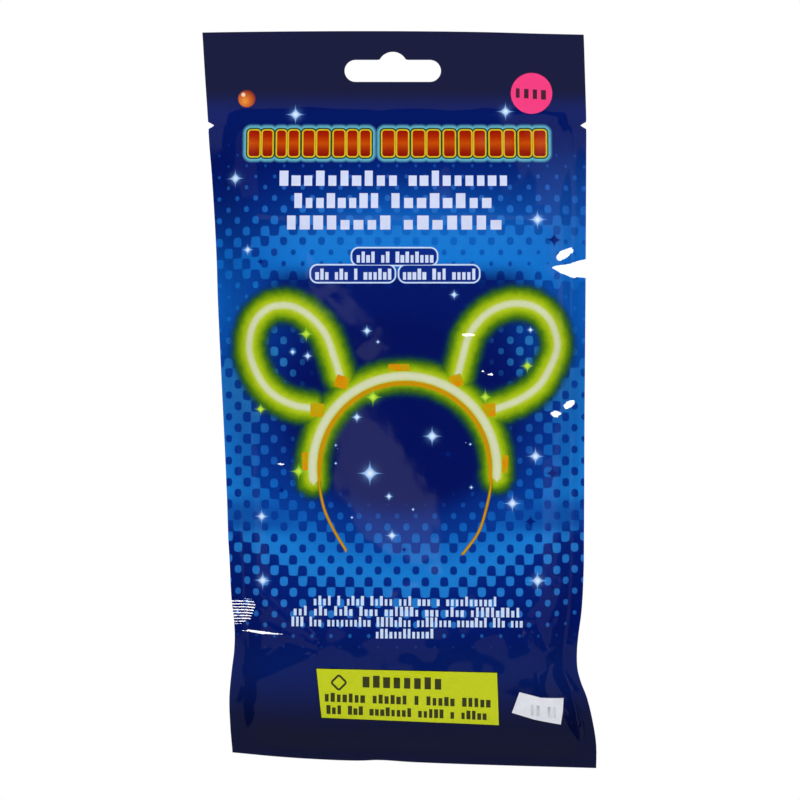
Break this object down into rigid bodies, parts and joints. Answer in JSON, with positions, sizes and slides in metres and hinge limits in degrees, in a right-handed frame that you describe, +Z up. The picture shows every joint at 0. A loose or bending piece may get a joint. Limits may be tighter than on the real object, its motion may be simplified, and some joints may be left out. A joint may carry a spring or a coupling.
{
  "type": "glow stick headband kit in a hanging film pouch",
  "caption": "Sealed flat film pouch with a euro hang slot and tear notches, holding a plastic hair hoop, clip-on socket connectors and thin glow sticks.",
  "frame": {"origin": "top of the round bump of the hang slot, midway between the two films, where a peg bears", "axes": "+Z up as the pouch hangs, front print towards -Y, +X to the right seen from the front"},
  "size_m": [0.1321, 0.0151, 0.247],
  "materials": {
    "header_print": "glossy laminated film, dark blue print",
    "header_back_print": "glossy laminated film, plain blue",
    "pocket_print": "glossy laminated film, blue print",
    "pocket_back_print": "glossy laminated film, plain blue",
    "pink_paper": "coated sticker paper",
    "white_paper": "creased label paper",
    "hoop_plastic": "moulded amber plastic",
    "connector_plastic": "moulded amber plastic",
    "tube_plastic": "translucent pink soft plastic",
    "ampoule_glass": "thin clear glass",
    "plug_plastic": "translucent pink plastic"
  },
  "bodies": {
    "header": {"header_front_film": "header_print", "header_back_film": "header_back_print", "colour_dot_sticker": "pink_paper"},
    "pocket": {"pocket_front_film": "pocket_print", "pocket_back_film": "pocket_back_print", "price_sticker": "white_paper"},
    "hoop": {"hair_hoop": "hoop_plastic"},
    "ear_connector_left": {"ear_connector_left": "connector_plastic"},
    "ear_connector_right": {"ear_connector_right": "connector_plastic"},
    "centre_clip": {"centre_clip": "connector_plastic"},
    "stick_1": {"stick_1_tube": "tube_plastic", "stick_1_ampoule": "ampoule_glass", "stick_1_plug": "plug_plastic"},
    "stick_2": {"stick_2_tube": "tube_plastic", "stick_2_ampoule": "ampoule_glass", "stick_2_plug": "plug_plastic"},
    "stick_3": {"stick_3_tube": "tube_plastic", "stick_3_ampoule": "ampoule_glass", "stick_3_plug": "plug_plastic"}
  },
  "joints": [
    {"name": "tear_off", "type": "slide", "parent": "header", "child": "pocket", "axis": [0, 0, -1], "range_m": [0, 0.05]},
    {"name": "hoop_slide", "type": "slide", "parent": "pocket", "child": "hoop", "axis": [0, 0, 1], "range_m": [0, 0.055]},
    {"name": "left_connector_shift", "type": "hinge", "parent": "hoop", "child": "ear_connector_left", "pos_m": [0.0047, -0.00265, -0.181], "axis": [0, 1, 0], "range_deg": [0, 8]},
    {"name": "right_connector_shift", "type": "hinge", "parent": "hoop", "child": "ear_connector_right", "pos_m": [0.0047, -0.00265, -0.181], "axis": [0, -1, 0], "range_deg": [0, 8]},
    {"name": "centre_clip_shift", "type": "hinge", "parent": "hoop", "child": "centre_clip", "pos_m": [0.0047, -0.00265, -0.181], "axis": [0, 1, 0], "range_deg": [-6, 6]},
    {"name": "stick_1_slide", "type": "slide", "parent": "pocket", "child": "stick_1", "axis": [0, 0, 1], "range_m": [0, 0.045]},
    {"name": "stick_2_slide", "type": "slide", "parent": "pocket", "child": "stick_2", "axis": [0, 0, 1], "range_m": [0, 0.045]},
    {"name": "stick_3_slide", "type": "slide", "parent": "pocket", "child": "stick_3", "axis": [0, 0, 1], "range_m": [0, 0.045]}
  ],
  "couplings": [
    {"joint": "stick_1_slide", "follows": "tear_off", "ratio": 0.9},
    {"joint": "stick_2_slide", "follows": "tear_off", "ratio": 0.9},
    {"joint": "stick_3_slide", "follows": "tear_off", "ratio": 0.9}
  ]
}
